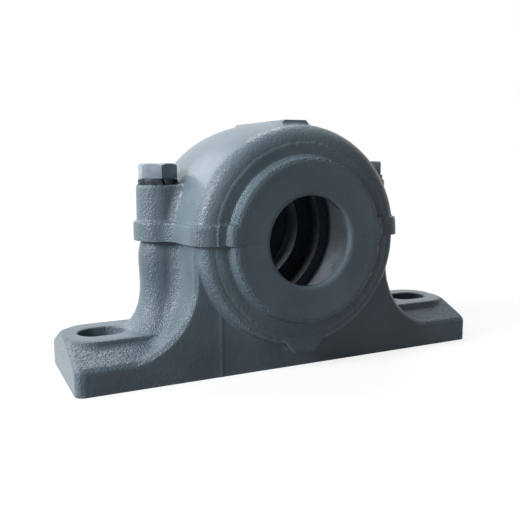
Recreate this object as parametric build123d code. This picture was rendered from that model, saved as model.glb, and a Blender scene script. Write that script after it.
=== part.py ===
from build123d import *
import os
from math import radians, sqrt, tan

# Split plummer block housing for a self-aligning bearing: a cast iron base with two slotted
# feet and a cast cap, parted at shaft height and held by two bolts with spring washers.
# Origin: centre of the underside. X runs along the feet, Y along the shaft, Z up. Millimetres.

# Shaft, bearing seat and end walls
shaft_height = 60.0          # underside to shaft axis, which lies in the parting plane
bore_radius = 20.25          # shaft opening in each end wall
bore_chamfer = 0.8
housing_width = 85.0         # over the two seal discs, along the shaft
lip_thickness = 3.2          # wall left at the shaft opening
seat_radius = 42.5           # bearing seat
seat_width = 31.0
shoulder_radius = 38.0       # bore beside the seat, against which locating rings stand
shoulder_width = 10.5        # length of that bore on each side of the seat
recess_radius = 30.0         # grease space behind each lip

# Barrel
barrel_width = 74.0          # over the two annular end faces
cap_crown_radius = 53.5      # cap barrel at mid-width
cap_edge_radius = 50.2       # cap barrel at its end faces, before the rim is rounded
cap_rim_rounding = 8.0
base_barrel_radius = 49.0
base_rim_rounding = 4.5
disc_root_radius = 37.2      # raised seal disc at the annular face
disc_face_radius = 36.0

# Feet
foot_length = 205.0
foot_width = 60.0
foot_edge_height = 11.4      # top of the long edge
foot_ridge_height = 19.2     # top of the sloped foot
foot_ridge_width = 23.0      # flat between the two slopes
foot_corner = 4.0
foot_end_chamfer = 1.5       # along the top edge of the end faces
pad_height = 19.7            # machined pad round each slot
pad_width = 34.6
pad_nose_rounding = 14.0

# Foot slots, for M12 studs
slot_width = 16.0
slot_length = 21.0
slot_end_wall = 7.0          # iron between a slot and the end of its foot

# Pedestal between feet and parting plane
pedestal_half_length = 50.6  # half-width at the parting plane
pedestal_fillet = 33.0       # hollow curve down to the foot
pedestal_chamfer = 2.0       # along the front and back edges of its sides

# Bolt columns of the base
bolt_spacing = 113.0
column_top_radius = 8.3
column_low_radius = 9.8
column_flare_height = 38.0   # where the straight column ends and its flare starts
column_flare_radius = 26.0
column_valley_radius = 7.0   # hollow rounding between column and pedestal side
column_sink = 3.0            # how far the column is rooted in the foot
valley_sink = 0.1            # how far the column's hollows start inside the pedestal

# Ears and flange of the cap
ear_top_height = 85.0
ear_top_radius = 10.0
ear_low_radius = 10.4
ear_edge_chamfer = 0.8
ear_blend = 4.5              # hollow rounding between ear and barrel
spot_face_radius = 9.8       # machined clear for the washer and the bolt head
flange_height = 8.4          # thick lower rim of the cap
flange_proud = 1.4           # how far it stands out from barrel, discs and ears
flange_ear_blend = 7.0       # hollow rounding between ear and barrel side, in the flange

# Flat pad on the crown of the cap, and a nub below each end of the base barrel
crown_pad_length = 54.0
crown_pad_width = 11.5
crown_pad_root_width = 19.0
crown_pad_depth = 4.5        # from its top to where its slanted sides end in the barrel
nub_tip_width = 11.0
nub_tip_height = 8.0
nub_root_width = 22.0
nub_root_height = 15.0
nub_sink = 4.0               # how far the nubs are rooted in the barrel

# Cap bolts M10 x 50 with spring washers
bolt_radius = 5.0
bolt_length = 50.0
bolt_tip_chamfer = 1.0
head_across_flats = 16.0
head_height = 7.0
head_corner_break = 30.0     # degrees of the chamfer round the top of the head
head_top_share = 0.95        # width of the head's round top, as a share of the flats
head_turn_left = 54.6        # degrees that the flats are turned from the X axis
head_turn_right = 24.0
washer_radius = 9.05
washer_hole_radius = 5.1
washer_thickness = 2.5
washer_gap = 1.1             # width of the split
washer_gap_lean = 25.0       # degrees that the split leans from upright
washer_turn_left = -91.0     # degrees from the X axis to the split
washer_turn_right = 65.0
thread_clearance = 0.05      # bolt shank in its tapped hole in the base
cap_hole_radius = 5.5        # bolt clearance hole in the ear
tapped_end_gap = 3.5         # tapped hole left below the tip of the bolt

# Core pocket in the underside
core_wall = 8.0              # iron left round the pocket
core_width = 42.0            # along the shaft
core_reach = 66.0            # to each side of the shaft axis
core_height = 27.0

# Dowel pins that line the cap up with the base
dowel_radius = 2.5
dowel_length = 14.0
dowel_depth = 9.0            # length held in the base
dowel_clearance = 0.06       # radial, in the cap
dowel_end_gap = 1.0
dowel_chamfer = 0.5
dowel_side = 22.0            # distance from mid-width along the shaft
dowel_reach = 44.6           # distance from the shaft axis across

# Grease hole on the crown, closed with a flush socket plug
plug_radius = 5.0
plug_length = 6.0
plug_clearance = 0.05
plug_sink = 0.6              # depth of its top below the crown pad
plug_socket_flats = 5.0
plug_socket_depth = 3.5
plug_chamfer = 0.6
grease_channel_radius = 2.5

# Worked out from the sizes above
half_barrel = barrel_width / 2
half_housing = housing_width / 2
bolt_x = bolt_spacing / 2
slot_x = foot_length / 2 - slot_end_wall - slot_length / 2
far = 2 * foot_length        # larger than the housing, for half spaces and through cuts
overshoot = 1.0              # how far a cut runs past the face that it opens
tolerance = 0.01             # for picking edges by their place
head_seat = ear_top_height + washer_thickness
tapped_hole_depth = bolt_length - (head_seat - shaft_height) + tapped_end_gap
cos_30 = sqrt(3) / 2         # flats to corners of a hexagon
shaft_axis = Axis((0, 0, shaft_height), (0, 1, 0))
shaft_plane = Plane(origin=(0, 0, shaft_height), x_dir=(1, 0, 0), z_dir=(0, 0, -1))


def half_space(upper):
    """A block above or below the parting plane."""
    middle = shaft_height + (far / 2 if upper else -far / 2)
    return Pos(0, 0, middle) * Box(far, far, far)


def mirrored_pair(shape):
    """A right-hand feature and its mirror image on the left."""
    return shape + mirror(shape, Plane.YZ)


def both_ends(points):
    """One end's outline, as (radius, along shaft) points, followed by its mirror image."""
    return points + [(radius, -along) for radius, along in reversed(points)]


def turned(outline):
    """Turns a flat outline, drawn as radius and distance along the shaft, round the shaft."""
    return revolve(shaft_plane * outline, shaft_axis, 360)


def interior():
    """Bearing seat, shoulders, grease spaces and shaft openings as one turned solid."""
    half_seat = seat_width / 2
    recess_start = half_seat + shoulder_width
    lip_start = half_housing - lip_thickness
    outside = half_housing + overshoot
    steps = both_ends([
        (0, outside),
        (bore_radius + bore_chamfer + overshoot, outside),
        (bore_radius, half_housing - bore_chamfer),
        (bore_radius, lip_start),
        (recess_radius, lip_start),
        (recess_radius, recess_start),
        (shoulder_radius, recess_start),
        (shoulder_radius, half_seat),
        (seat_radius, half_seat),
    ])
    return turned(Polygon(*steps, align=None))


def turned_barrel(middle_radius, edge_radius, rim_rounding, proud):
    """A barrel with rounded rims and its raised, tapered seal discs, grown by a margin."""
    end = half_barrel + proud
    middle = middle_radius + proud
    edge = edge_radius + proud
    side = Line((edge, -end), (edge, end))
    if middle > edge:
        side = ThreePointArc((edge, -end), (middle, 0), (edge, end))
    outline = make_face([Polyline((edge, end), (0, end), (0, -end), (edge, -end)), side])
    rims = outline.vertices().filter_by(lambda vertex: vertex.X > edge - tolerance)
    outline = fillet(rims, rim_rounding + proud)
    disc_steps = both_ends([
        (0, half_housing),
        (disc_face_radius + proud, half_housing),
        (disc_root_radius + proud, end),
    ])
    return turned(outline + Polygon(*disc_steps, align=None))


def base_barrel():
    """The plain barrel of the base with its seal discs."""
    return turned_barrel(base_barrel_radius, base_barrel_radius, base_rim_rounding, 0)


def cap_barrel(proud):
    """The crowned barrel of the cap with its seal discs, grown outwards by a margin."""
    return turned_barrel(cap_crown_radius, cap_edge_radius, cap_rim_rounding, proud)


def sloped_foot():
    """The long foot: a flat ridge between two slopes, with rounded ends."""
    half_width = foot_width / 2
    half_ridge = foot_ridge_width / 2
    section = Plane.YZ * Polygon(
        (-half_width, 0),
        (half_width, 0),
        (half_width, foot_edge_height),
        (half_ridge, foot_ridge_height),
        (-half_ridge, foot_ridge_height),
        (-half_width, foot_edge_height),
        align=None,
    )
    foot = extrude(section, foot_length / 2, both=True)
    foot = fillet(foot.edges().filter_by(Axis.Z), foot_corner)
    corner_start = foot_length / 2 - foot_corner
    ends = foot.edges().filter_by(
        lambda edge: abs(edge.center().X) > corner_start and edge.center().Z > foot_edge_height
    )
    return chamfer(ends, foot_end_chamfer)


def slot_pad():
    """The right-hand machined pad round a foot slot, running in under the pedestal."""
    length = foot_length / 2
    outline = Pos(length / 2, 0) * RectangleRounded(length, pad_width, pad_nose_rounding)
    return extrude(outline, pad_height)


def pedestal_outline(inset):
    """Front outline of the pedestal, moved inwards by a margin."""
    half = pedestal_half_length - inset
    curve = pedestal_fillet + inset
    toe = half + curve
    top = shaft_height
    curve_top = foot_edge_height + pedestal_fillet
    toe_height = curve_top - curve
    bottom = -inset
    return [
        Line((toe, bottom), (toe, toe_height)),
        RadiusArc((toe, toe_height), (half, curve_top), curve),
        Line((half, curve_top), (half, top)),
        Line((half, top), (-half, top)),
        Line((-half, top), (-half, curve_top)),
        RadiusArc((-half, curve_top), (-toe, toe_height), curve),
        Line((-toe, toe_height), (-toe, bottom)),
        Line((-toe, bottom), (toe, bottom)),
    ]


def pedestal():
    """The upright block, with a hollow curve down to the foot on both sides."""
    block = extrude(Plane.XZ * make_face(pedestal_outline(0)), foot_width / 2, both=True)
    corners = block.edges().filter_by(
        lambda edge: abs(abs(edge.center().Y) - foot_width / 2) < tolerance
        and abs(edge.center().X) > pedestal_half_length - tolerance
        and edge.center().Z > foot_edge_height
    )
    return chamfer(corners, pedestal_chamfer)


def pedestal_side(height):
    """Half-width of the pedestal at a height above the floor."""
    toe = pedestal_half_length + pedestal_fillet
    below_curve_top = max(0.0, foot_edge_height + pedestal_fillet - height)
    return toe - sqrt(pedestal_fillet**2 - below_curve_top**2)


def column_radius(height):
    """Radius of the bolt column at a height: a taper, then a flare towards the foot."""
    rise = (height - column_flare_height) / (shaft_height - column_flare_height)
    taper = column_low_radius + (column_top_radius - column_low_radius) * max(0.0, rise)
    below_flare = max(0.0, column_flare_height - height)
    return taper + column_flare_radius - sqrt(column_flare_radius**2 - below_flare**2)


def column_section(height):
    """Level section of a bolt column with the hollow valleys that join it to the pedestal."""
    radius = column_radius(height)
    side = pedestal_side(height) - valley_sink
    back = side - pedestal_chamfer
    reach = radius + column_valley_radius
    valley_x = side + column_valley_radius
    valley_y = sqrt(reach**2 - (valley_x - bolt_x) ** 2)
    share = radius / reach
    meet = (bolt_x + (valley_x - bolt_x) * share, valley_y * share)
    one_side = [
        Line((back, valley_y), (side, valley_y)),
        RadiusArc((side, valley_y), meet, -column_valley_radius),
    ]
    other_side = [mirror(curve, Plane.XZ) for curve in one_side]
    nose = ThreePointArc(meet, (bolt_x + radius, 0), (meet[0], -meet[1]))
    rear = Line((back, -valley_y), (back, valley_y))
    return Pos(0, 0, height) * make_face(one_side + other_side + [nose, rear])


def bolt_column():
    """The right-hand column that carries a cap bolt."""
    root_height = foot_ridge_height - column_sink
    flare = column_flare_height - root_height
    heights = [root_height + flare * share for share in (0.0, 0.3, 0.6, 1.0)]
    return loft([column_section(height) for height in heights + [shaft_height]])


def nubs():
    """The tapered nubs below the ends of the base barrel."""
    outline = Plane.XZ * Polygon(
        (-nub_tip_width / 2, nub_tip_height),
        (nub_tip_width / 2, nub_tip_height),
        (nub_root_width / 2, nub_root_height),
        (nub_root_width / 2, nub_root_height + nub_sink),
        (-nub_root_width / 2, nub_root_height + nub_sink),
        (-nub_root_width / 2, nub_root_height),
        align=None,
    )
    return extrude(outline, half_barrel, both=True)


def core_pocket():
    """The pocket cored into the underside, with an even wall under barrel and pedestal."""
    block = Pos(0, 0, core_height / 2) * Box(2 * core_reach, core_width, core_height)
    inside_pedestal = extrude(Plane.XZ * make_face(pedestal_outline(core_wall)), far / 2, both=True)
    under_foot = Box(far, far, 2 * (foot_ridge_height - core_wall))
    barrel = Pos(0, 0, shaft_height) * Rot(X=90) * Cylinder(seat_radius + core_wall, far)
    return block & (inside_pedestal + under_foot) - barrel


def foot_slot():
    """One right-hand slot through the foot."""
    return Pos(slot_x, 0) * extrude(SlotOverall(slot_length, slot_width), far / 2, both=True)


def housing_base():
    """The base casting, machined."""
    body = pedestal() + mirrored_pair(bolt_column())
    body = body + sloped_foot() + mirrored_pair(slot_pad())
    body = body + (base_barrel() & half_space(False)) + nubs()
    body = body - interior() - mirrored_pair(foot_slot()) - core_pocket()
    tapped = Cylinder(bolt_radius + thread_clearance, 2 * tapped_hole_depth)
    body = body - mirrored_pair(Pos(bolt_x, 0, shaft_height) * tapped)
    dowel_hole = Cylinder(dowel_radius, 2 * dowel_depth)
    for side in (-1, 1):
        body = body - Pos(side * dowel_reach, -side * dowel_side, shaft_height) * dowel_hole
    return body


def ear_outline(radius):
    """Plan of the right-hand ear: round its bolt, and straight back into the barrel."""
    straight = Pos(bolt_x / 2, 0) * Rectangle(bolt_x, 2 * radius)
    return straight + Pos(bolt_x, 0) * Circle(radius)


def cap_ear():
    """The right-hand boss that the cap bolt goes through."""
    low = Pos(0, 0, shaft_height) * ear_outline(ear_low_radius)
    top = Pos(0, 0, ear_top_height) * ear_outline(ear_top_radius)
    boss = loft([low, top], ruled=True)
    return chamfer(boss.faces().sort_by(Axis.Z)[-1].edges(), ear_edge_chamfer)


def ear_valleys(shape):
    """The upright hollow edges where the ears meet the barrel of the cap."""
    ear_side = ear_low_radius + flange_proud + tolerance
    return shape.edges().filter_by(
        lambda edge: edge.bounding_box().size.Z > flange_height / 2
        and abs(abs(edge.center().X) - bolt_x) > tolerance
        and abs(edge.center().Y) < ear_side
    )


def cap_flange():
    """The thick lower rim that runs round barrel, discs and ears."""
    ear = extrude(ear_outline(ear_low_radius + flange_proud), far)
    outline = cap_barrel(flange_proud) + mirrored_pair(ear)
    flange = outline & Pos(0, 0, shaft_height + flange_height / 2) * Box(far, far, flange_height)
    return fillet(ear_valleys(flange), flange_ear_blend)


def crown_pad():
    """The flat pad along the crown, its top level with the crown at mid-width."""
    top = shaft_height + cap_crown_radius
    outline = Plane.XZ * Polygon(
        (-crown_pad_root_width / 2, top - crown_pad_depth),
        (crown_pad_root_width / 2, top - crown_pad_depth),
        (crown_pad_width / 2, top),
        (-crown_pad_width / 2, top),
        align=None,
    )
    return extrude(outline, crown_pad_length / 2, both=True)


def housing_cap():
    """The cap casting, machined."""
    body = (cap_barrel(0) & half_space(True)) + mirrored_pair(cap_ear())
    body = fillet(ear_valleys(body), ear_blend) + cap_flange() + crown_pad()
    body = body - interior()
    bolt_hole = Pos(bolt_x, 0, shaft_height) * Cylinder(cap_hole_radius, far)
    spot_face = Pos(bolt_x, 0, ear_top_height + far / 2) * Cylinder(spot_face_radius, far)
    body = body - mirrored_pair(bolt_hole) - mirrored_pair(spot_face)
    dowel_depth_in_cap = dowel_length - dowel_depth + dowel_end_gap
    dowel_hole = Cylinder(dowel_radius + dowel_clearance, 2 * dowel_depth_in_cap)
    for side in (-1, 1):
        body = body - Pos(side * dowel_reach, -side * dowel_side, shaft_height) * dowel_hole
    top = shaft_height + cap_crown_radius
    plug_hole = Cylinder(plug_radius + plug_clearance, 2 * (plug_sink + plug_length))
    channel = Pos(0, 0, top) * Cylinder(grease_channel_radius, cap_crown_radius)
    return body - Pos(0, 0, top) * plug_hole - channel


def cap_bolt(turn):
    """A hexagon head bolt, its head seated at the origin and its flats turned by an angle."""
    corner_radius = head_across_flats / 2 / cos_30
    head = extrude(Rot(Z=turn + 30) * RegularPolygon(corner_radius, 6), head_height)
    top_radius = head_top_share * head_across_flats / 2
    spread = head_height / tan(radians(head_corner_break))
    head = head & Solid.make_cone(top_radius + spread, top_radius, head_height)
    shank = Pos(0, 0, -bolt_length / 2) * Cylinder(bolt_radius, bolt_length)
    shank = chamfer(shank.faces().sort_by(Axis.Z)[0].edges(), bolt_tip_chamfer)
    return head + shank


def spring_washer(turn):
    """A spring lock washer standing on the origin, its leaning split turned to an angle."""
    ring = Cylinder(washer_radius, washer_thickness) - Cylinder(washer_hole_radius, far)
    split = Box(2 * washer_radius, washer_gap, far)
    split = Pos(washer_radius, 0, 0) * Rot(X=washer_gap_lean) * split
    return Pos(0, 0, washer_thickness / 2) * Rot(Z=turn) * (ring - split)


def dowel_pin():
    """A dowel pin, standing half in the base with the parting plane at the origin."""
    pin = Pos(0, 0, dowel_length / 2 - dowel_depth) * Cylinder(dowel_radius, dowel_length)
    return chamfer(pin.edges().filter_by(GeomType.CIRCLE), dowel_chamfer)


def grease_plug():
    """The flush plug of the grease hole, its top at the origin."""
    plug = Pos(0, 0, -plug_length / 2) * Cylinder(plug_radius, plug_length)
    plug = chamfer(plug.edges().filter_by(GeomType.CIRCLE), plug_chamfer)
    socket_radius = plug_socket_flats / 2 / cos_30
    socket = extrude(RegularPolygon(socket_radius, 6), -plug_socket_depth)
    return plug - socket


def write_parts():
    """Writes one STEP file for each separate piece."""
    os.makedirs("parts", exist_ok=True)
    pieces = {
        "housing_base": housing_base(),
        "housing_cap": housing_cap(),
        "grease_plug": Pos(0, 0, shaft_height + cap_crown_radius - plug_sink) * grease_plug(),
    }
    sides = {
        "left": (-1, head_turn_left, washer_turn_left),
        "right": (1, head_turn_right, washer_turn_right),
    }
    for name, (side, head_turn, washer_turn) in sides.items():
        pieces[f"cap_bolt_{name}"] = Pos(side * bolt_x, 0, head_seat) * cap_bolt(head_turn)
        washer = Pos(side * bolt_x, 0, ear_top_height) * spring_washer(washer_turn)
        pieces[f"spring_washer_{name}"] = washer
        place = Pos(side * dowel_reach, -side * dowel_side, shaft_height)
        pieces[f"dowel_pin_{name}"] = place * dowel_pin()
    for name, piece in pieces.items():
        export_step(piece, f"parts/{name}.step")


if __name__ == "__main__":
    write_parts()
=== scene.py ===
import bpy
import numpy as np
from math import cos, pi, radians, sin, sqrt, tan
from mathutils import Matrix, Vector


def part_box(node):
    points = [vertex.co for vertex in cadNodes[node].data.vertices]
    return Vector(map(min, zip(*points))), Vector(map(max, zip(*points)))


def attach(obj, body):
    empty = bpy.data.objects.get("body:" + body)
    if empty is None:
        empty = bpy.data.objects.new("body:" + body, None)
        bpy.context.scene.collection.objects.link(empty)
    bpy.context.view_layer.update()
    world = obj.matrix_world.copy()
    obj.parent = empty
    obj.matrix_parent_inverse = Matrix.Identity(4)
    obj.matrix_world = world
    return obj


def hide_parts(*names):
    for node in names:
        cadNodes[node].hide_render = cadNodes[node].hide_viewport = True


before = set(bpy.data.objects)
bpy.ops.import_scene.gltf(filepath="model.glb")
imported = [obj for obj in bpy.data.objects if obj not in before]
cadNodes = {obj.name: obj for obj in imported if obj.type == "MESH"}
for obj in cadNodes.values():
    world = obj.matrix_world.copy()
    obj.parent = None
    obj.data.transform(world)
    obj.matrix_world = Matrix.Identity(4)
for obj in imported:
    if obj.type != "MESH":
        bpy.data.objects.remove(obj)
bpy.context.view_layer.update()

mm = 0.001
mergeDistance = 0.001 * mm      # two points nearer than this are one
closeBy = 0.01 * mm             # and two heights nearer than this are level
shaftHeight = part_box("housing_base")[1][2]      # the parting plane runs through the shaft axis
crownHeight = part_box("housing_cap")[1][2]
print("frame loaded:", len(cadNodes), "nodes")


# Helpers for working in object and edit mode.

def pickOnly(piece):
    if bpy.context.mode != "OBJECT":
        bpy.ops.object.mode_set(mode="OBJECT")
    bpy.ops.object.select_all(action="DESELECT")
    piece.select_set(True)
    bpy.context.view_layer.objects.active = piece


def openForEditing(piece):
    pickOnly(piece)
    bpy.ops.object.mode_set(mode="EDIT")
    bpy.context.tool_settings.mesh_select_mode = (False, False, True)


def applyModifier(piece, kind, settings):
    pickOnly(piece)
    modifier = piece.modifiers.new(kind.lower(), kind)
    for key, value in settings.items():
        setattr(modifier, key, value)
    bpy.ops.object.modifier_apply(modifier=modifier.name)


def nameNewPiece(name):
    piece = bpy.context.active_object
    piece.name = name
    piece.data.name = name
    return piece


def placeForGood(piece):
    pickOnly(piece)
    bpy.ops.object.transform_apply(location=True, rotation=True, scale=True)


def finishPiece(piece, body, slotName, *nodes):
    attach(piece, body)
    if nodes:
        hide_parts(*nodes)


def smoothByAngle(piece, angle):
    pickOnly(piece)
    bpy.ops.object.shade_smooth_by_angle(angle=radians(angle))


def roundEdges(piece, width, segments, angle):
    applyModifier(piece, "BEVEL", {"width": width, "segments": segments, "limit_method": "ANGLE",
                                   "angle_limit": radians(angle)})


# A round shape drawn up out of a disc, step by step, as (radius, height) pairs.
def turnedShape(name, steps, segments, place=(0, 0, 0), tip=(0, 0, 0), material=None):
    bpy.ops.object.select_all(action="DESELECT")
    radius, height = steps[0]
    bpy.ops.mesh.primitive_circle_add(vertices=segments, radius=radius, fill_type="NGON",
                                      location=(0, 0, height))
    piece = nameNewPiece(name)
    openForEditing(piece)
    bpy.ops.mesh.select_all(action="SELECT")
    for nextRadius, nextHeight in steps[1:]:
        rise = (0, 0, nextHeight - height)
        bpy.ops.mesh.extrude_region_move(TRANSFORM_OT_translate={"value": rise})
        share = nextRadius / radius
        bpy.ops.transform.resize(value=(share, share, 1), center_override=(0, 0, nextHeight))
        radius, height = nextRadius, nextHeight
    bpy.ops.mesh.select_all(action="SELECT")
    bpy.ops.mesh.normals_make_consistent(inside=False)
    placeForGood(piece)
    piece.rotation_euler = tip
    piece.location = place
    placeForGood(piece)
    if material:
        piece.data.materials.append(material)
    return piece


def blockShape(name, low, high):
    bpy.ops.object.select_all(action="DESELECT")
    middle = [(a + b) / 2 for a, b in zip(low, high)]
    size = [b - a for a, b in zip(low, high)]
    bpy.ops.mesh.primitive_cube_add(size=1, location=middle, scale=size)
    piece = nameNewPiece(name)
    placeForGood(piece)
    return piece


# Colours and materials. An sRGB hex value becomes the linear colour that a node takes.

def linearColour(hexValue):
    parts = [int(hexValue[i:i + 2], 16) / 255 for i in (0, 2, 4)]
    return [p / 12.92 if p <= 0.04045 else ((p + 0.055) / 1.055) ** 2.4 for p in parts] + [1.0]


# Settings go to the node's sockets or options by name, and a ramp takes its stops, as
# (position, hex colour or grey level) pairs.
def addNode(tree, kind, settings=None, links=None):
    node = tree.nodes.new(kind)
    for key, value in (settings or {}).items():
        if key == "stops":
            points = node.color_ramp.elements
            while len(points) < len(value):
                points.new(0.5)
            for point, (position, colour) in zip(points, value):
                isHex = isinstance(colour, str)
                point.position = position
                point.color = linearColour(colour) if isHex else (colour, colour, colour, 1)
        elif isinstance(key, int) or key in node.inputs:
            node.inputs[key].default_value = value
        else:
            setattr(node, key, value)
    for socket, source in (links or {}).items():
        tree.links.new(source, node.inputs[socket])
    return node


def newMaterial(name):
    material = bpy.data.materials.new(name)
    material.use_nodes = True
    material.node_tree.nodes.clear()
    return material, material.node_tree


# Every finish is glossier in some patches and duller in others: as a noise runs between these two
# levels, its roughness runs from the first of its pair to the second.
noiseLow, noiseHigh = 0.3, 0.7


# Alkyd enamel sprayed on sand-cast grey iron. The paint follows every grain of the skin, so lit slopes
# sparkle, and the flatter faces, where the mould was smoother, look nearly plain. The grains' colour also
# holds painted light: lighter on each grain's top, darker between grains.
castPaint = {
    "colour": "61717c",
    "thinColour": "55656f",     # where the coat is thin
    "dustColour": "707f89",     # where dry overspray has settled
    "patchSize": 32 * mm,
    "patchStops": (0.3, 0.5, 0.72),
    "grainSize": 0.85 * mm,     # foundry sand is nearer 0.3 mm: drawn coarser, so that it shows
    "grainPaintedLightShade": [(0.1, 1.05), (0.62, 0.86)],              # painted highlight on a grain's top, painted shade between grains
    "grainForm": [(0.05, 1.0), (0.3, 0.75), (0.62, 0.0)],   # round on top, with a narrow gap
    "grainDepth": 0.15 * mm,
    "lumpSize": 2.6 * mm,       # clumps of grains
    "lumpDepth": 0.36 * mm,
    "roughness": (0.24, 0.33),
    "specular": 0.26,
}


def makeCastPaint(settings):
    material, tree = newMaterial("alkyd_enamel_on_sand_cast_iron")
    place = addNode(tree, "ShaderNodeTexCoord").outputs["Object"]
    sand = addNode(tree, "ShaderNodeAttribute", {"attribute_name": "sand"}).outputs["Fac"]
    patches = addNode(tree, "ShaderNodeTexNoise", {"Scale": 1 / settings["patchSize"], "Detail": 4.0},
                      {"Vector": place}).outputs["Fac"]
    grains = addNode(tree, "ShaderNodeTexVoronoi", {"Scale": 1 / settings["grainSize"]},
                     {"Vector": place}).outputs["Distance"]
    lumps = addNode(tree, "ShaderNodeTexNoise", {"Scale": 1 / settings["lumpSize"], "Detail": 2.0},
                    {"Vector": place}).outputs["Fac"]
    patchColours = settings["thinColour"], settings["colour"], settings["dustColour"]
    patchStops = list(zip(settings["patchStops"], patchColours))
    patchColour = addNode(tree, "ShaderNodeValToRGB", {"stops": patchStops},
                          {"Fac": patches}).outputs["Color"]
    # Where the sand skin is coarse, each grain's colour takes a painted highlight on its top and painted
    # shade in the gaps between grains.
    grainPaintedLightShade = addNode(tree, "ShaderNodeValToRGB", {"stops": settings["grainPaintedLightShade"]},
                         {"Fac": grains}).outputs["Color"]
    grainForm = addNode(tree, "ShaderNodeValToRGB", {"stops": settings["grainForm"]},
                        {"Fac": grains}).outputs["Color"]
    grainMix = addNode(tree, "ShaderNodeMix", {"data_type": "RGBA", "blend_type": "MULTIPLY"},
                       {"Factor": sand})
    tree.links.new(patchColour, grainMix.inputs["A"])
    tree.links.new(grainPaintedLightShade, grainMix.inputs["B"])
    glossiest, dullest = settings["roughness"]
    gloss = addNode(tree, "ShaderNodeMapRange",
                    {"From Min": noiseLow, "From Max": noiseHigh, "To Min": glossiest, "To Max": dullest},
                    {"Value": patches})
    grainHeight = addNode(tree, "ShaderNodeMath", {"operation": "MULTIPLY"}, {0: grainForm, 1: sand})
    lumpHeight = addNode(tree, "ShaderNodeMath", {"operation": "MULTIPLY"}, {0: lumps, 1: sand})
    lumpBump = addNode(tree, "ShaderNodeBump", {"Strength": 1.0, "Distance": settings["lumpDepth"]},
                       {"Height": lumpHeight.outputs[0]})
    grainBump = addNode(tree, "ShaderNodeBump", {"Strength": 1.0, "Distance": settings["grainDepth"]},
                        {"Height": grainHeight.outputs[0], "Normal": lumpBump.outputs["Normal"]})
    shader = addNode(tree, "ShaderNodeBsdfPrincipled", {"Specular IOR Level": settings["specular"]},
                     {"Base Color": grainMix.outputs["Result"], "Roughness": gloss.outputs["Result"],
                      "Normal": grainBump.outputs["Normal"]})
    addNode(tree, "ShaderNodeOutputMaterial", links={"Surface": shader.outputs["BSDF"]})
    return material


# Grey iron as the tool left it, dulled by oil: an even steel grey without a sharp light on it,
# with fine rings round the shaft and, close up, faint graphite flecks.
turnedIron = {
    "colour": "6f777f",
    "fleckColour": "5f676e",
    "fleckStops": (0.36, 0.5),
    "fleckSize": 0.9 * mm,      # real graphite is finer than 0.5 mm: drawn coarser, so that it shows
    "stainSize": 14 * mm,
    "ringSpacing": 0.5 * mm,    # about twice a real tool's feed, so that it shows
    "ringDepth": 0.01 * mm,
    "ringWander": 0.4,
    "roughness": (0.46, 0.62),
}
waveBand = 0.314                # width of one band of a Wave texture whose scale is 1


def makeTurnedIron(settings):
    material, tree = newMaterial("turned_grey_iron")
    place = addNode(tree, "ShaderNodeTexCoord").outputs["Object"]
    flecks = addNode(tree, "ShaderNodeTexNoise", {"Scale": 1 / settings["fleckSize"], "Detail": 3.0},
                     {"Vector": place}).outputs["Fac"]
    stains = addNode(tree, "ShaderNodeTexNoise", {"Scale": 1 / settings["stainSize"], "Detail": 3.0},
                     {"Vector": place}).outputs["Fac"]
    ringSettings = {"wave_type": "BANDS", "bands_direction": "Y",
                    "Scale": waveBand / settings["ringSpacing"], "Distortion": settings["ringWander"]}
    rings = addNode(tree, "ShaderNodeTexWave", ringSettings, {"Vector": place}).outputs["Fac"]
    fleckColours = settings["fleckColour"], settings["colour"]
    fleckStops = list(zip(settings["fleckStops"], fleckColours))
    colour = addNode(tree, "ShaderNodeValToRGB", {"stops": fleckStops},
                     {"Fac": flecks}).outputs["Color"]
    glossiest, dullest = settings["roughness"]
    gloss = addNode(tree, "ShaderNodeMapRange",
                    {"From Min": noiseLow, "From Max": noiseHigh, "To Min": glossiest, "To Max": dullest},
                    {"Value": stains})
    bump = addNode(tree, "ShaderNodeBump", {"Strength": 1.0, "Distance": settings["ringDepth"]},
                   {"Height": rings})
    shader = addNode(tree, "ShaderNodeBsdfPrincipled", {"Metallic": 1.0},
                     {"Base Color": colour, "Roughness": gloss.outputs["Result"],
                      "Normal": bump.outputs["Normal"]})
    addNode(tree, "ShaderNodeOutputMaterial", links={"Surface": shader.outputs["BSDF"]})
    return material


# The small steels, the brass and the bolt heads' enamel: stains over a base colour, and a fine
# worked grit. Grit is drawn a few times coarser than a real file's or wheel's, so that it shows.
metalFinishes = {
    # Brushed over by hand with the housing's paint: glossier than the castings, without their sand.
    "grey_enamel_on_bolt_steel": {
        "colours": ("7c8892", "97a3ad"), "metallic": 0.0, "specular": 0.2,
        "roughness": (0.16, 0.28), "stain": 6 * mm, "grit": 0.6 * mm, "depth": 0.02 * mm,
    },
    # Oil-blackened: nearly black shank and thread, with a narrow grey light along each turn.
    "blackened_bolt_steel": {
        "colours": ("23282c", "3c4247"), "metallic": 1.0, "specular": 0.5,
        "roughness": (0.26, 0.42), "stain": 5 * mm, "grit": 0.5 * mm, "depth": 0.02 * mm,
    },
    # Tempered blue and oiled: dark, with a thin bright line where an edge turns to the light.
    "blued_spring_steel": {
        "colours": ("262b30", "454b52"), "metallic": 1.0, "specular": 0.5,
        "roughness": (0.2, 0.32), "stain": 3 * mm, "grit": 0.4 * mm, "depth": 0.015 * mm,
    },
    # Ground and left bare: the brightest metal here, nearly plain.
    "ground_pin_steel": {
        "colours": ("8d9195", "b3b6b9"), "metallic": 1.0, "specular": 0.5,
        "roughness": (0.2, 0.3), "stain": 4 * mm, "grit": 0.3 * mm, "depth": 0.006 * mm,
    },
    # Turned brass dulled by handling: warm, with darker patches.
    "turned_plug_brass": {
        "colours": ("8f7442", "b8995c"), "metallic": 1.0, "specular": 0.5,
        "roughness": (0.28, 0.42), "stain": 3 * mm, "grit": 0.4 * mm, "depth": 0.012 * mm,
    },
}
stainStart, stainFull = 0.35, 0.65      # noise levels between which a stain sets in


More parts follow.
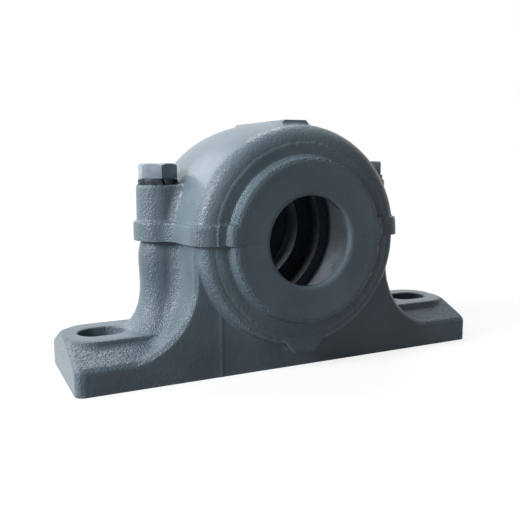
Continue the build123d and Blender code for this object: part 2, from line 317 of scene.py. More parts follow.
def makeMetal(name):
    settings = metalFinishes[name]
    material, tree = newMaterial(name)
    place = addNode(tree, "ShaderNodeTexCoord").outputs["Object"]
    stains = addNode(tree, "ShaderNodeTexNoise", {"Scale": 1 / settings["stain"], "Detail": 4.0},
                     {"Vector": place}).outputs["Fac"]
    grit = addNode(tree, "ShaderNodeTexNoise", {"Scale": 1 / settings["grit"], "Detail": 2.0},
                   {"Vector": place}).outputs["Fac"]
    stainStops = [(stainStart, settings["colours"][0]), (stainFull, settings["colours"][1])]
    colour = addNode(tree, "ShaderNodeValToRGB", {"stops": stainStops},
                     {"Fac": stains}).outputs["Color"]
    glossiest, dullest = settings["roughness"]
    gloss = addNode(tree, "ShaderNodeMapRange",
                    {"From Min": noiseLow, "From Max": noiseHigh, "To Min": glossiest, "To Max": dullest},
                    {"Value": stains})
    bump = addNode(tree, "ShaderNodeBump", {"Strength": 1.0, "Distance": settings["depth"]},
                   {"Height": grit})
    surface = {"Metallic": settings["metallic"], "Specular IOR Level": settings["specular"]}
    shader = addNode(tree, "ShaderNodeBsdfPrincipled", surface,
                     {"Base Color": colour, "Roughness": gloss.outputs["Result"],
                      "Normal": bump.outputs["Normal"]})
    addNode(tree, "ShaderNodeOutputMaterial", links={"Surface": shader.outputs["BSDF"]})
    return material


castPaintMaterial = makeCastPaint(castPaint)
turnedIronMaterial = makeTurnedIron(turnedIron)
metals = {name: makeMetal(name) for name in metalFinishes}
print("materials made")


# The castings. Each CAD solid is copied and remeshed to a cast skin with soft edges and a grain,
# with a little stock left where the real one is machined. The cutters then take that stock off.
castSkin = {
    "voxel": 0.6 * mm,
    "smoothing": 0.5,
    "softening": 3,             # smoothing passes, which round the edges like a sand mould
    "evening": 30,              # more passes on the wide, even faces
    "swell": 0.2 * mm,
    "swellSize": 9 * mm,
    "grain": 0.08 * mm,
    "grainSize": 1.6 * mm,
    "middle": 0.75,             # level of the swell and grain that leaves the face where it is
    "stock": 0.4 * mm,
    "flatStock": 1.8 * mm,      # on the parting plane and the underside, for crisp edges
    "seamX": -38.4 * mm,
    "seamY": -31 * mm,          # the seam lies behind this, on the pedestal and not on the disc
    "seamWidth": 1.1 * mm,
    "seamHeight": 0.22 * mm,
    "triangles": 190000,
    "paintedRadius": 39 * mm,   # paint covers the hollow this far from the shaft's axis
    "slotPaint": (70 * mm, 22 * mm),    # and a foot's slot, from this far out and up to this height
    "smoothAngle": 38,
}

machining = {
    "boreRadius": 20.25 * mm,
    "boreChamfer": 0.8 * mm,
    "halfLength": 42.5 * mm,
    "lip": 3.2 * mm,
    "seatRadius": 42.5 * mm,
    "halfSeat": 15.5 * mm,
    "shoulderRadius": 38 * mm,
    "shoulderLength": 10.5 * mm,
    "recessRadius": 30 * mm,
    "boltX": 56.5 * mm,
    "earTop": 85 * mm,
    "spotFaceRadius": 9.8 * mm,
    "capHoleRadius": 5.5 * mm,
    "tappedRadius": 5.0 * mm,
    "tappedDepth": 26 * mm,
    "slotX": 85 * mm,
    "slotWidth": 16 * mm,
    "slotLength": 21 * mm,
    "slotChamfer": 0.5 * mm,
    "padHeight": 19.7 * mm,
    "dowelX": 44.6 * mm,
    "dowelY": 22 * mm,
    "dowelRadius": 2.5 * mm,
    "dowelInBase": 9 * mm,
    "dowelInCap": 6 * mm,
    "dowelClearance": 0.06 * mm,
    "plugRadius": 5.05 * mm,
    "plugHole": 6.6 * mm,
    "channelRadius": 2.5 * mm,
    "channelStart": 30 * mm,    # above the shaft's axis, inside the hollow
    "past": 2 * mm,             # how far a cutter runs on past the face that it opens
    "pastTop": 4 * mm,
    "pastSpot": 12 * mm,
    "overlap": 1 * mm,
    "reach": 0.2,               # half the width of a block that clears all beyond a flat face
}


def boreSteps(m):
    outside = m["halfLength"] + m["overlap"]
    lipInside = m["halfLength"] - m["lip"]
    shoulderEnd = m["halfSeat"] + m["shoulderLength"]
    half = [
        (m["boreRadius"] + m["boreChamfer"] + m["overlap"], outside),
        (m["boreRadius"], m["halfLength"] - m["boreChamfer"]),
        (m["boreRadius"], lipInside),
        (m["recessRadius"], lipInside),
        (m["recessRadius"], shoulderEnd),
        (m["shoulderRadius"], shoulderEnd),
        (m["shoulderRadius"], m["halfSeat"]),
        (m["seatRadius"], m["halfSeat"]),
    ]
    return half + [(radius, -along) for radius, along in reversed(half)]


def combine(piece, other, operation):
    applyModifier(piece, "BOOLEAN", {"operation": operation, "solver": "MANIFOLD",
                                     "object": other, "material_mode": "TRANSFER"})
    bpy.data.objects.remove(other)


# The cutters are joined first, so the fine mesh of a casting is cut only once.
def cutAway(piece, cutters):
    for cutter in cutters:
        cutter.data.materials.append(turnedIronMaterial)
    for cutter in cutters[1:]:
        combine(cutters[0], cutter, "UNION")
    combine(piece, cutters[0], "DIFFERENCE")


def holeCutter(name, x, y, radius, low, high):
    steps = [(radius, low), (radius, high)]
    return turnedShape(name, steps, segments=64, place=(x, y, 0))


def readPoints(mesh):
    points = np.empty(len(mesh.vertices) * 3)
    normals = np.empty(len(mesh.vertices) * 3)
    mesh.vertices.foreach_get("co", points)
    mesh.vertices.foreach_get("normal", normals)
    return points.reshape(-1, 3), normals.reshape(-1, 3)


def softStep(low, high, value):
    share = np.clip((value - low) / (high - low), 0, 1)
    return share * share * (3 - 2 * share)


# Places on the castings in millimetres, with the distance from the shaft's axis.
def measured(points):
    x, y, z = [points[:, i] / mm for i in range(3)]
    return x, y, z, np.hypot(x, z - shaftHeight / mm)


# The faces that come out even: the barrel's sides and the rings round the discs, short of their
# edges. All in millimetres.
evenZones = {
    "barrelFrom": 47,           # from the axis
    "barrelHalf": 27,           # along the shaft
    "barrelSide": 42,           # across
    "crownAway": 6,
    "disc": (23, 34),
    "discHalf": 42,
}


def evenFaces(points, e):
    x, y, z, fromAxis = measured(points)
    side = (fromAxis > e["barrelFrom"]) & (np.abs(y) < e["barrelHalf"])
    side &= (np.abs(x) < e["barrelSide"]) & (np.abs(z - crownHeight / mm) > e["crownAway"])
    disc = (fromAxis < e["disc"][1]) & (fromAxis > e["disc"][0]) & (np.abs(y) > e["discHalf"])
    return (side | disc).astype(float)


# The faint line that the pattern's joint leaves down the front of the pedestal, below the barrel.
def seamShare(points, normals, skin):
    x, y, z = points[:, 0], points[:, 1], points[:, 2]
    across = np.clip(1 - np.abs(x - skin["seamX"]) / skin["seamWidth"], 0, 1)
    facingFront = normals[:, 1] < -0.9
    return across * facingFront * (y > skin["seamY"]) * (z < shaftHeight / 2)


# Where the sand skin is finer. Each pair is where a change begins and where it is full, in
# millimetres or as the share that a face looks one way, and each "less" is the share taken off.
sandZones = {
    "barrelFrom": (47, 49),
    "barrelTo": (55, 56),
    "barrelHalf": (27, 32),
    "columnAcross": (44, 52),
    "columnHalf": (10, 16),
    "barrelLess": 0.75,
    "facingEnd": (0.85, 0.97),
    "endLess": 0.7,
    "facingSide": (0.9, 0.98),
    "sideLess": 0.6,
    "rimFrom": (45, 48),
    "rimAbove": (58, 62),
    "rimAcross": (48, 51),
    "rimLess": 0.45,
    "padAbove": (19.3, 19.6),
    "padBelow": (20.0, 20.4),
    "facingUp": (0.9, 0.97),
    "padLess": 0.8,
    "discEdge": (31, 33),
}


# How coarse the sand skin is at each point, from 0 for a flat face to 1.
def sandAmount(points, normals, s):
    x, y, z, fromAxis = measured(points)
    amount = np.ones(len(points))
    barrelSide = softStep(*s["barrelFrom"], fromAxis) * (1 - softStep(*s["barrelTo"], fromAxis))
    barrelSide *= 1 - softStep(*s["barrelHalf"], np.abs(y))
    columns = softStep(*s["columnAcross"], np.abs(x)) * (1 - softStep(*s["columnHalf"], np.abs(y)))
    barrelSide *= 1 - columns
    amount *= 1 - s["barrelLess"] * barrelSide
    amount *= 1 - s["endLess"] * softStep(*s["facingEnd"], np.abs(normals[:, 1]))
    amount *= 1 - s["sideLess"] * softStep(*s["facingSide"], np.abs(normals[:, 0]))
    rim = softStep(*s["rimFrom"], fromAxis) * softStep(*s["rimAbove"], z)
    rim *= 1 - softStep(*s["rimAcross"], np.abs(x))
    amount *= 1 - s["rimLess"] * rim
    padTop = softStep(*s["padAbove"], z) * (1 - softStep(*s["padBelow"], z))
    padTop *= softStep(*s["facingUp"], normals[:, 2])
    amount *= 1 - s["padLess"] * padTop
    amount *= softStep(*s["discEdge"], fromAxis)
    return amount


# The faces that the round cutters will reach: bore, ear tops, bolt holes and slots. In millimetres.
stockZones = {
    "bore": 43.2,               # from the axis
    "boreHalf": 42.0,           # along the shaft
    "earHeight": 0.6,           # above or below the ear's top
    "earRadius": 9.4,
    "boltHole": 6.2,
    "slotEnds": (82.5, 87.5),   # middles of a slot's round ends
    "slotRadius": 8.4,
    "slotBelow": 25,
}


def needsStock(points, k):
    x, y, z, fromAxis = measured(points)
    inside = (fromAxis < k["bore"]) & (np.abs(y) < k["boreHalf"])
    fromBolt = np.hypot(np.abs(x) - machining["boltX"] / mm, y)
    fromEar = np.abs(z - machining["earTop"] / mm)
    earTop = (fromEar < k["earHeight"]) & (fromBolt < k["earRadius"])
    slotX = np.clip(np.abs(x), *k["slotEnds"])
    slotWall = (np.hypot(np.abs(x) - slotX, y) < k["slotRadius"]) & (z < k["slotBelow"])
    return inside | earTop | (fromBolt < k["boltHole"]) | slotWall


# Weights go in as twenty even levels, because a group takes one weight for a list of points.
def markGroup(piece, name, weights):
    group = piece.vertex_groups.new(name=name)
    levelCount = 20
    levels = np.round(np.clip(weights, 0, 1) * levelCount).astype(int)
    for level in range(1, levelCount + 1):
        members = np.nonzero(levels == level)[0]
        if len(members):
            group.add(members.tolist(), level / levelCount, "REPLACE")


def cloudTexture(name, size, depth):
    texture = bpy.data.textures.new(name, "CLOUDS")
    texture.noise_scale = size
    texture.noise_depth = depth
    return texture


def roughCasting(name, nodeName, skin):
    piece = bpy.data.objects.new(name, cadNodes[nodeName].data.copy())
    bpy.context.scene.collection.objects.link(piece)
    piece.data.materials.clear()
    piece.data.materials.append(castPaintMaterial)
    openForEditing(piece)
    bpy.ops.mesh.select_all(action="SELECT")
    bpy.ops.mesh.remove_doubles(threshold=mergeDistance)
    bpy.ops.object.mode_set(mode="OBJECT")
    points = readPoints(piece.data)[0]
    outward = 1 if nodeName == "housing_base" else -1
    points[np.abs(points[:, 2] - shaftHeight) < closeBy, 2] += outward * skin["flatStock"]
    points[points[:, 2] < closeBy, 2] -= skin["flatStock"]
    piece.data.vertices.foreach_set("co", points.ravel())
    applyModifier(piece, "REMESH", {"mode": "VOXEL", "voxel_size": skin["voxel"], "adaptivity": 0})
    applyModifier(piece, "SMOOTH", {"factor": skin["smoothing"], "iterations": skin["softening"]})
    markGroup(piece, "even", evenFaces(readPoints(piece.data)[0], evenZones))
    applyModifier(piece, "SMOOTH", {"factor": skin["smoothing"], "iterations": skin["evening"],
                                    "vertex_group": "even"})
    points, normals = readPoints(piece.data)
    points[:, 1] -= skin["seamHeight"] * seamShare(points, normals, skin)
    piece.data.vertices.foreach_set("co", points.ravel())
    stock = needsStock(points, stockZones)
    markGroup(piece, "stock", stock.astype(float))
    markGroup(piece, "sand", sandAmount(points, normals, sandZones) * ~stock)
    applyModifier(piece, "DISPLACE", {"strength": skin["stock"], "mid_level": 0,
                                      "vertex_group": "stock"})
    swell, grain = (skin["swellSize"], 1, skin["swell"]), (skin["grainSize"], 0, skin["grain"])
    for size, depth, strength in (swell, grain):
        applyModifier(piece, "DISPLACE", {"texture": cloudTexture(name, size, depth),
                                          "texture_coords": "LOCAL", "strength": strength,
                                          "mid_level": skin["middle"], "vertex_group": "sand"})
    piece.vertex_groups.clear()
    return piece


def boreCutter(m):
    return turnedShape("bore_cutter", boreSteps(m), segments=180, place=(0, 0, shaftHeight),
                       tip=(pi / 2, 0, 0))


# A slot is a round hole whose two halves are moved apart.
def slotCutter(side, m):
    half, wide = m["slotWidth"] / 2, m["slotWidth"] / 2 + m["slotChamfer"]
    top = m["padHeight"]
    steps = [(half, -m["past"]), (half, top - m["slotChamfer"]), (wide, top), (wide, top + m["pastTop"])]
    cutter = turnedShape("slot_cutter", steps, segments=96, place=(side * m["slotX"], 0, 0))
    openForEditing(cutter)
    bpy.context.tool_settings.mesh_select_mode = (True, False, False)
    straight = (m["slotLength"] - m["slotWidth"]) / 2
    for direction in (-1, 1):
        bpy.ops.mesh.select_all(action="DESELECT")
        bpy.ops.object.mode_set(mode="OBJECT")
        for vertex in cutter.data.vertices:
            vertex.select = (vertex.co.x - side * m["slotX"]) * direction > mergeDistance
        bpy.ops.object.mode_set(mode="EDIT")
        bpy.ops.transform.translate(value=(direction * straight, 0, 0))
    bpy.ops.object.mode_set(mode="OBJECT")
    return cutter


# Nothing on a casting may stand outside the box of its solid.
def keepInBox(piece, node):
    low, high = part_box(node)
    points = np.clip(readPoints(piece.data)[0], list(low), list(high))
    piece.data.vertices.foreach_set("co", points.ravel())
    piece.data.update()


# Paint has run over the rough-turned hollow and the slots, so their faces take it back, while the
# seat, the parting plane and the ear tops stay bare.
def finishCasting(piece, node, skin):
    triangles = sum(len(polygon.vertices) - 2 for polygon in piece.data.polygons)
    if triangles > skin["triangles"]:
        applyModifier(piece, "DECIMATE", {"ratio": skin["triangles"] / triangles})
    keepInBox(piece, node)
    points, normals = readPoints(piece.data)
    sand = piece.data.attributes.new("sand", "FLOAT", "POINT")
    sand.data.foreach_set("value", sandAmount(points, normals, sandZones))
    slotFrom, slotTop = skin["slotPaint"]
    for polygon in piece.data.polygons:
        x, z = polygon.center.x, polygon.center.z
        inHollow = (x ** 2 + (z - shaftHeight) ** 2) ** 0.5 < skin["paintedRadius"]
        inHollow = inHollow and abs(z - shaftHeight) > closeBy
        inSlot = z < slotTop and abs(x) > slotFrom
        if polygon.material_index == 1 and (inHollow or inSlot):
            polygon.material_index = 0
    smoothByAngle(piece, skin["smoothAngle"])


def makeBase(m):
    piece = roughCasting("cast_base", "housing_base", castSkin)
    reach, top = m["reach"], shaftHeight + m["past"]
    cutters = [
        boreCutter(m),
        blockShape("parting_cutter", (-reach, -reach, shaftHeight), (reach, reach, reach)),
        blockShape("underside_cutter", (-reach, -reach, -reach), (reach, reach, 0)),
    ]
    for side in (-1, 1):
        boltX, dowelX, dowelY = side * m["boltX"], side * m["dowelX"], -side * m["dowelY"]
        tappedLow, dowelLow = shaftHeight - m["tappedDepth"], shaftHeight - m["dowelInBase"]
        cutters += [
            slotCutter(side, m),
            holeCutter("tapped_hole", boltX, 0, m["tappedRadius"], tappedLow, top),
            holeCutter("dowel_hole", dowelX, dowelY, m["dowelRadius"], dowelLow, top),
        ]
    cutAway(piece, cutters)
    finishCasting(piece, "housing_base", castSkin)
    finishPiece(piece, "base", "painted_casting", "housing_base")
    return piece


def makeCap(m):
    piece = roughCasting("cast_cap", "housing_cap", castSkin)
    reach, low, ear = m["reach"], shaftHeight - m["past"], m["earTop"]
    plugLow = crownHeight - m["plugHole"]
    cutters = [
        boreCutter(m),
        blockShape("parting_cutter", (-reach, -reach, -reach), (reach, reach, shaftHeight)),
        holeCutter("plug_hole", 0, 0, m["plugRadius"], plugLow, crownHeight + m["past"]),
        holeCutter("grease_channel", 0, 0, m["channelRadius"], shaftHeight + m["channelStart"],
                   plugLow + m["overlap"]),
    ]
    dowelRadius, dowelTop = m["dowelRadius"] + m["dowelClearance"], shaftHeight + m["dowelInCap"]
    for side in (-1, 1):
        boltX, dowelX, dowelY = side * m["boltX"], side * m["dowelX"], -side * m["dowelY"]
        cutters += [
            holeCutter("bolt_hole", boltX, 0, m["capHoleRadius"], low, ear + m["pastTop"]),
            holeCutter("spot_face", boltX, 0, m["spotFaceRadius"], ear, ear + m["pastSpot"]),
            holeCutter("dowel_hole", dowelX, dowelY, dowelRadius, low, dowelTop),
        ]
    cutAway(piece, cutters)
    finishCasting(piece, "housing_cap", castSkin)
    finishPiece(piece, "cap", "painted_casting", "housing_cap")
    return piece


castBase = makeBase(machining)
print("base cast and machined:", len(castBase.data.polygons), "faces")
castCap = makeCap(machining)
print("cap cast and machined:", len(castCap.data.polygons), "faces")


# Cap bolts M10 x 50: a hexagon head with a washer face, a plain shank and a rolled thread.
boltMake = {
    "flats": 16 * mm,
    "headHeight": 7 * mm,
    "topShare": 0.95,           # width of the head's round top, as a share of the flats
    "cornerBreak": 30,          # degrees of the chamfer round the top
    "washerFace": (7.8 * mm, 0.22 * mm),
    "faceBreak": 0.1 * mm,
    "overlap": 1 * mm,          # how far the washer face runs up into the head
    "edgeRadius": 0.3 * mm,
    "length": 50 * mm,
    "radius": 5 * mm,
    "rootRadius": 4.08 * mm,
    "pitch": 1.5 * mm,
    "threadTurns": 18,
    "threadSteps": 40,          # to one turn
    "tipChamfer": 1 * mm,
    "crestClear": 0.1 * mm,     # between the crests and the envelope that trims the thread's ends
    "threadEnd": (0.2 * mm, 0.8 * mm),      # where the thread fades out, under its root and upwards
    "shankFoot": (0.1 * mm, 0.6 * mm),      # where the shank begins, under the root and downwards
    "shankFull": 0.4 * mm,
    "shankLess": 0.02 * mm,     # a rolled bolt's shank is a little thinner than its crests
    "neck": (0.05 * mm, 1 * mm),            # how much the shank swells under the head, and how far up
    "segments": 96,
    "smoothAngle": 25,
    "seat": 87.5 * mm,
    "turns": {"left": 54.6, "right": 24.0},     # degrees that each head is turned
}


def hexPrism(name, flats, low, high, turn, material):
    bpy.ops.object.select_all(action="DESELECT")
    bpy.ops.mesh.primitive_cylinder_add(vertices=6, radius=flats / sqrt(3), depth=high - low,
                                        location=(0, 0, (low + high) / 2), rotation=(0, 0, radians(turn)))
    piece = nameNewPiece(name)
    placeForGood(piece)
    piece.data.materials.append(material)
    return piece


# One pitch of the thread's outline, turned up the shank by a Screw modifier and closed at its ends.
def threadedRod(name, b, material):
    bpy.ops.object.select_all(action="DESELECT")
    bpy.ops.mesh.primitive_circle_add(vertices=5, radius=b["radius"], fill_type="NOTHING")
    piece = nameNewPiece(name)
    root, crest = b["rootRadius"], b["radius"]      # the flats of the thread, as shares of a pitch
    outline = [(root, 0), (root, 0.25), (crest, 0.5625), (crest, 0.6875), (root, 1)]
    for vertex, (radius, share) in zip(piece.data.vertices, outline):
        vertex.co = (radius, 0, share * b["pitch"])
    for edge in piece.data.edges:       # the side that would close the outline down the root
        edge.select = set(edge.vertices) == {0, 4}
    for vertex in piece.data.vertices:
        vertex.select = vertex.index in (0, 4)
    pickOnly(piece)
    bpy.ops.object.mode_set(mode="EDIT")
    bpy.context.tool_settings.mesh_select_mode = (False, True, False)
    bpy.ops.mesh.delete(type="EDGE_FACE")
    bpy.ops.object.mode_set(mode="OBJECT")
    applyModifier(piece, "SCREW", {"screw_offset": b["pitch"], "iterations": b["threadTurns"] + 2,
                                   "steps": b["threadSteps"], "render_steps": b["threadSteps"],
                                   "axis": "Z"})
    openForEditing(piece)
    bpy.ops.mesh.select_all(action="SELECT")
    bpy.ops.mesh.remove_doubles(threshold=2 * mergeDistance)
    bpy.ops.mesh.fill_holes(sides=0)
    bpy.ops.mesh.quads_convert_to_tris()
    bpy.ops.mesh.normals_make_consistent(inside=False)
    bpy.ops.object.mode_set(mode="OBJECT")
    piece.location = (0, 0, -b["length"] - b["pitch"])
    placeForGood(piece)
    piece.data.materials.append(material)
    return piece


def makeBolt(side, x, b):
    painted, black = metals["grey_enamel_on_bolt_steel"], metals["blackened_bolt_steel"]
    segments = b["segments"]
    top, tip = b["headHeight"], -b["length"]
    faceRadius, faceHeight = b["washerFace"]
    root, radius = b["rootRadius"], b["radius"]

    head = hexPrism("fitted_bolt_" + side, b["flats"], faceHeight, top, b["turns"][side], painted)
    roundTop = b["flats"] / 2 * b["topShare"]
    spread = top / tan(radians(b["cornerBreak"]))
    coneSteps = [(roundTop + spread, 0), (roundTop, top)]
    combine(head, turnedShape("corner_break", coneSteps, segments, material=painted), "INTERSECT")
    roundEdges(head, width=b["edgeRadius"], segments=3, angle=b["smoothAngle"])
    faceSteps = [(faceRadius - b["faceBreak"], 0), (faceRadius, b["faceBreak"]),
                 (faceRadius, faceHeight + b["overlap"])]
    combine(head, turnedShape("washer_face", faceSteps, segments, material=painted), "UNION")

    plainEnd = tip + b["threadTurns"] * b["pitch"]      # the thread reaches up to here
    crest = radius + b["crestClear"]
    under, upwards = b["threadEnd"]
    rod = threadedRod("bolt_thread", b, black)
    envelopeSteps = [(radius - b["tipChamfer"], tip), (crest, tip + 1.1 * b["tipChamfer"]),
                     (crest, plainEnd), (root - under, plainEnd + upwards)]
    envelope = turnedShape("thread_envelope", envelopeSteps, segments, material=black)
    combine(rod, envelope, "INTERSECT")

    shank = radius - b["shankLess"]
    under, downwards = b["shankFoot"]
    swell, neckTop = b["neck"]
    shankSteps = [(root - under, plainEnd - downwards), (shank, plainEnd + b["shankFull"]),
                  (shank, -b["shankFull"]), (radius + swell, swell), (radius + swell, neckTop)]
    combine(rod, turnedShape("bolt_shank", shankSteps, segments, material=black), "UNION")
    combine(head, rod, "UNION")
    head.location = (x, 0, b["seat"])
    placeForGood(head)
    smoothByAngle(head, b["smoothAngle"])
    finishPiece(head, "bolt_" + side, "bolt_steel", "cap_bolt_" + side)


# Split spring washers, their corners rounded, with the split leaning as it is sheared.
washerMake = {
    "radius": 9.05 * mm,
    "hole": 5.1 * mm,
    "low": 85 * mm,
    "high": 87.5 * mm,
    "edgeRadius": 0.35 * mm,
    "gap": 1.1 * mm,
    "lean": 25,
    "cutSize": (12 * mm, 8 * mm),       # of the block that cuts the split, outwards and up or down
    "past": 1 * mm,
    "segments": 96,
    "smoothAngle": 35,
    "turns": {"left": -91.0, "right": 65.0},    # degrees round to each split
}


def makeWasher(side, x, w):
    blued = metals["blued_spring_steel"]
    ringSteps = [(w["radius"], w["low"]), (w["radius"], w["high"])]
    ring = turnedShape("split_washer_" + side, ringSteps, w["segments"], material=blued)
    holeSteps = [(w["hole"], w["low"] - w["past"]), (w["hole"], w["high"] + w["past"])]
    hole = turnedShape("washer_hole", holeSteps, segments=64, material=blued)
    combine(ring, hole, "DIFFERENCE")
    roundEdges(ring, width=w["edgeRadius"], segments=3, angle=40)
    outwards, half = w["cutSize"]
    split = blockShape("washer_split", (0, -w["gap"] / 2, -half), (outwards, w["gap"] / 2, half))
    split.data.materials.append(blued)
    split.rotation_euler = (radians(w["lean"]), 0, 0)
    placeForGood(split)
    split.rotation_euler = (0, 0, radians(w["turns"][side]))
    split.location = (0, 0, (w["low"] + w["high"]) / 2)
    placeForGood(split)
    combine(ring, split, "DIFFERENCE")
    ring.location = (x, 0, 0)
    placeForGood(ring)
    smoothByAngle(ring, w["smoothAngle"])
    finishPiece(ring, "bolt_" + side, "spring_steel", "spring_washer_" + side)


# Ground dowel pins with a rounded lead at each end, standing in the base.
pinMake = {
    "radius": 2.5 * mm,
    "endRadius": 1.7 * mm,
    "low": 51 * mm,
    "high": 65 * mm,
    "lead": 0.5 * mm,
    "smoothAngle": 40,
}


def makePin(side, x, y, d):
    radius, endRadius, lead = d["radius"], d["endRadius"], d["lead"]
    half, quarter = lead * 0.5, lead * 0.25
    steps = [
        (endRadius, d["low"]),
        (radius - half, d["low"] + quarter),
        (radius, d["low"] + lead),
        (radius, d["high"] - lead),
        (radius - half, d["high"] - quarter),
        (endRadius, d["high"]),
    ]
    steel = metals["ground_pin_steel"]
    pin = turnedShape("ground_pin_" + side, steps, segments=48, place=(x, y, 0), material=steel)
    smoothByAngle(pin, d["smoothAngle"])
    finishPiece(pin, "base", "pin_steel", "dowel_pin_" + side)


# The brass plug of the grease hole, with a hexagon socket.
plugMake = {
    "radius": 5 * mm,
    "top": 112.9 * mm,
    "length": 6 * mm,
    "chamfer": 0.6 * mm,
    "socketFlats": 5 * mm,
    "socketDepth": 3.5 * mm,
    "past": 1 * mm,
    "edgeRadius": 0.12 * mm,
    "smoothAngle": 35,
}


def makePlug(g):
    radius, top, chamfer = g["radius"], g["top"], g["chamfer"]
    low = top - g["length"]
    steps = [(radius - chamfer, low), (radius, low + chamfer), (radius, top - chamfer),
             (radius - chamfer, top)]
    brass = metals["turned_plug_brass"]
    plug = turnedShape("socket_plug", steps, segments=64, material=brass)
    socketLow, socketHigh = top - g["socketDepth"], top + g["past"]
    socket = hexPrism("plug_socket", g["socketFlats"], socketLow, socketHigh, turn=0, material=brass)
    combine(plug, socket, "DIFFERENCE")
    roundEdges(plug, width=g["edgeRadius"], segments=2, angle=30)
    smoothByAngle(plug, g["smoothAngle"])
    finishPiece(plug, "cap", "plug_brass", "grease_plug")


for side, sign in (("left", -1), ("right", 1)):
    makeBolt(side, sign * machining["boltX"], boltMake)
    makeWasher(side, sign * machining["boltX"], washerMake)
    makePin(side, sign * machining["dowelX"], -sign * machining["dowelY"], pinMake)
makePlug(plugMake)
print("bolts, washers, pins and plug made")


# Camera, lamps, floor and background.

cameraPlace = {
    "where": (-145.4 * mm, -295.0 * mm, 96.6 * mm),
    "turn": -25.41,     # degrees round the upright axis, from looking along +Y
    "tilt": -8.74,      # degrees below level
    "roll": -0.39,
    "lens": 46.0,       # in Blender's millimetres, as the sensor is
    "sensor": 36.0,
    "clip": (10 * mm, 20),
}


def makeCamera(place):
    camera = bpy.data.objects.new("camera", bpy.data.cameras.new("camera"))
    bpy.context.scene.collection.objects.link(camera)
    turn = Matrix.Rotation(radians(place["turn"]), 4, "Z")
    tilt = Matrix.Rotation(radians(90 + place["tilt"]), 4, "X")
    roll = Matrix.Rotation(radians(place["roll"]), 4, "Z")
    camera.matrix_world = Matrix.Translation(place["where"]) @ turn @ tilt @ roll
    camera.data.lens = place["lens"]
    camera.data.sensor_width = place["sensor"]
    camera.data.clip_start, camera.data.clip_end = place["clip"]
    bpy.context.scene.camera = camera


# Far lamps, as degrees round from the front, negative to the left, and above the horizon.
farLamps = {
    "key": {"azimuth": -86, "elevation": 24, "spread": 22, "strength": 3.3, "colour": "ffffff"},
    "rim": {"azimuth": -148, "elevation": 32, "spread": 40, "strength": 1.1, "colour": "ffffff"},
    "top": {"azimuth": 165, "elevation": 62, "spread": 32, "strength": 1.5, "colour": "ffffff"},
}

# Near lamps, whose light fades along the object: one low at the front left, which reaches into the
# bore, and one high on the left that draws the gleam along the rounded edges. Sizes in metres.
nearLamps = {
    "side": {"azimuth": -45, "elevation": 8, "distance": 0.42, "size": 0.16, "power": 0.03,
             "colour": "f4f7ff"},
    "softbox": {"azimuth": -76, "elevation": 42, "distance": 0.7, "size": 0.2, "power": 1.7,
                "colour": "ffffff"},
}


lampAim = Vector((0, 0, 0.05))          # about the middle of the housing


def lampPlace(settings, distance):
    azimuth, elevation = radians(settings["azimuth"]), radians(settings["elevation"])
    away = Vector((sin(azimuth) * cos(elevation), -cos(azimuth) * cos(elevation), sin(elevation)))
    facing = away.to_track_quat("Z", "Y").to_matrix().to_4x4()
    return Matrix.Translation(lampAim + away * distance) @ facing


def makeLamp(name, kind, settings, distance):
    lamp = bpy.data.objects.new(name, bpy.data.lights.new(name, kind))
    bpy.context.scene.collection.objects.link(lamp)
    lamp.data.color = linearColour(settings["colour"])[:3]
    lamp.matrix_world = lampPlace(settings, distance)
    return lamp.data


# The studio looks white, and lights the object only a little: the floor is a mid grey that keeps
# the shadow, lifted to white where it is looked at.
studio = {
    "skyColour": "dfe6ee",
    "skyLight": 0.012,
    "floorColour": "747678",
    "floorLift": 0.84,
    "floorSize": 60,            # metres
    "floorDrop": 0.05 * mm,     # keeps the floor clear of the underside
}


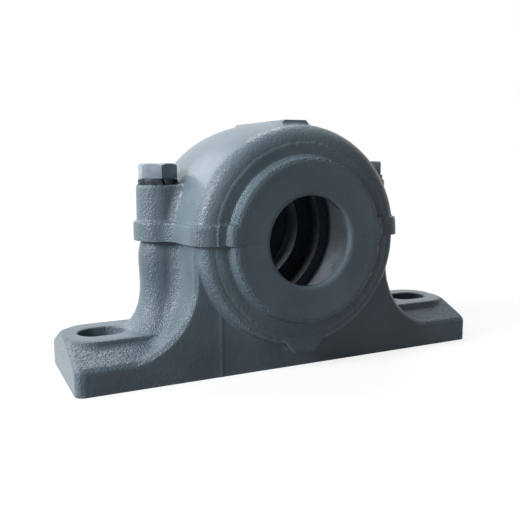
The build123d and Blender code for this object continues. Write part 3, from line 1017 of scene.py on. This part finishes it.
# One where the camera, a gloss or glass looks at the studio, and nought for the light itself.
def looking(tree):
    ray = addNode(tree, "ShaderNodeLightPath").outputs
    seen = addNode(tree, "ShaderNodeMath", {"operation": "MAXIMUM"},
                   {0: ray["Is Camera Ray"], 1: ray["Is Glossy Ray"]})
    either = addNode(tree, "ShaderNodeMath", {"operation": "MAXIMUM"},
                     {0: seen.outputs[0], 1: ray["Is Transmission Ray"]})
    return either.outputs[0]


def makeWorld(settings):
    world = bpy.data.worlds.new("studio")
    world.use_nodes = True
    tree = world.node_tree
    tree.nodes.clear()
    skyColour, whiteColour = linearColour(settings["skyColour"]), linearColour("ffffff")
    weak = addNode(tree, "ShaderNodeBackground", {"Color": skyColour, "Strength": settings["skyLight"]})
    white = addNode(tree, "ShaderNodeBackground", {"Color": whiteColour, "Strength": 1.0})
    mix = addNode(tree, "ShaderNodeMixShader",
                  links={0: looking(tree), 1: weak.outputs[0], 2: white.outputs[0]})
    addNode(tree, "ShaderNodeOutputWorld", links={"Surface": mix.outputs[0]})
    bpy.context.scene.world = world


def makeFloor(settings):
    bpy.ops.object.select_all(action="DESELECT")
    bpy.ops.mesh.primitive_plane_add(size=settings["floorSize"], location=(0, 0, -settings["floorDrop"]))
    floor = nameNewPiece("studio_floor")
    material, tree = newMaterial("matt_white_floor")
    matt = addNode(tree, "ShaderNodeBsdfDiffuse", {"Color": linearColour(settings["floorColour"])})
    lift = addNode(tree, "ShaderNodeMath", {"operation": "MULTIPLY", 1: settings["floorLift"]},
                   {0: looking(tree)})
    glow = addNode(tree, "ShaderNodeEmission", {"Color": linearColour("ffffff")},
                   {"Strength": lift.outputs[0]})
    both = addNode(tree, "ShaderNodeAddShader", links={0: matt.outputs[0], 1: glow.outputs[0]})
    addNode(tree, "ShaderNodeOutputMaterial", links={"Surface": both.outputs[0]})
    floor.data.materials.append(material)


makeCamera(cameraPlace)
for name, settings in farLamps.items():
    light = makeLamp(name, "SUN", settings, 1.0)
    light.angle = radians(settings["spread"])
    light.energy = settings["strength"]
for name, settings in nearLamps.items():
    light = makeLamp(name, "AREA", settings, settings["distance"])
    light.size = settings["size"]
    light.energy = settings["power"]
makeWorld(studio)
makeFloor(studio)
bpy.context.scene.view_settings.view_transform = "Standard"
print("camera, lamps and floor placed")
